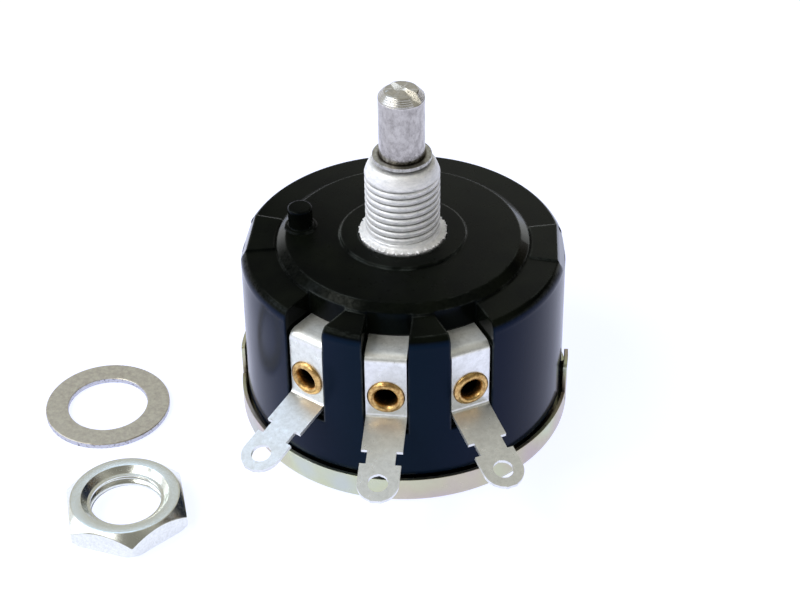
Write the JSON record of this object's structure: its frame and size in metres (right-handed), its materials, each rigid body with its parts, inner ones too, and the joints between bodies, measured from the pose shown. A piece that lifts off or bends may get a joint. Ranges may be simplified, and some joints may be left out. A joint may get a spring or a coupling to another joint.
{
  "type": "wirewound rotary potentiometer",
  "caption": "Round black panel-mounting rotary potentiometer with a threaded bushing, slotted shaft, side solder lugs with brass eyelets, pressed steel back cover, and loose nut and washer.",
  "frame": {"origin": "middle of the back cover's outer face, on the shaft axis", "axes": "+Z along the shaft, away from the cover; -Y towards the middle terminal; +X to the right of the terminals"},
  "size_m": [0.0721, 0.0588, 0.0495],
  "materials": {
    "case_phenolic": "glossy black phenolic moulding",
    "bushing_aluminium": "matt blasted aluminium with a cut thread",
    "shaft_aluminium": "fine turned aluminium",
    "ring_steel": "bright spring steel",
    "cover_zinc": "yellow passivated zinc plate on steel, slightly iridescent",
    "terminal_tin": "tinned strip, satin",
    "eyelet_brass": "bright brass, rolled",
    "insulation": "brown insulating board and moulding",
    "resistance_wire": "fine resistance wire wound close",
    "contact_bronze": "spring bronze strip",
    "graphite": "copper graphite brush",
    "washer_steel": "matt plated steel",
    "nut_zinc": "bright zinc plate"
  },
  "bodies": {
    "case": {"housing": "case_phenolic", "threaded_bushing": "bushing_aluminium", "back_cover": "cover_zinc", "insulating_disc": "insulation", "element_former": "insulation", "resistance_winding": "resistance_wire", "collector_ring": "contact_bronze", "collector_strap": "contact_bronze", "terminal_left": "terminal_tin", "terminal_centre": "terminal_tin", "terminal_right": "terminal_tin", "eyelet_left": "eyelet_brass", "eyelet_centre": "eyelet_brass", "eyelet_right": "eyelet_brass", "end_clamp_left": "contact_bronze", "end_clamp_right": "contact_bronze"},
    "rotor": {"shaft": "shaft_aluminium", "retaining_ring": "ring_steel", "thrust_washer": "insulation", "rotor_hub": "insulation", "wiper_arm": "contact_bronze", "contact_brush": "graphite", "collector_finger": "contact_bronze"},
    "washer": {"flat_washer": "washer_steel"},
    "nut": {"hex_nut": "nut_zinc"}
  },
  "joints": [
    {"name": "shaft_turn", "type": "hinge", "parent": "case", "child": "rotor", "pos_m": [0, 0, 0.03], "axis": [0, 0, 1], "range_deg": [-150, 150]},
    {"name": "washer_lift", "type": "slide", "parent": "case", "child": "washer", "axis": [0, 0, 1], "range_m": [0, 0.05]},
    {"name": "nut_lift", "type": "slide", "parent": "case", "child": "nut", "axis": [0, 0, 1], "range_m": [0, 0.05]}
  ]
}
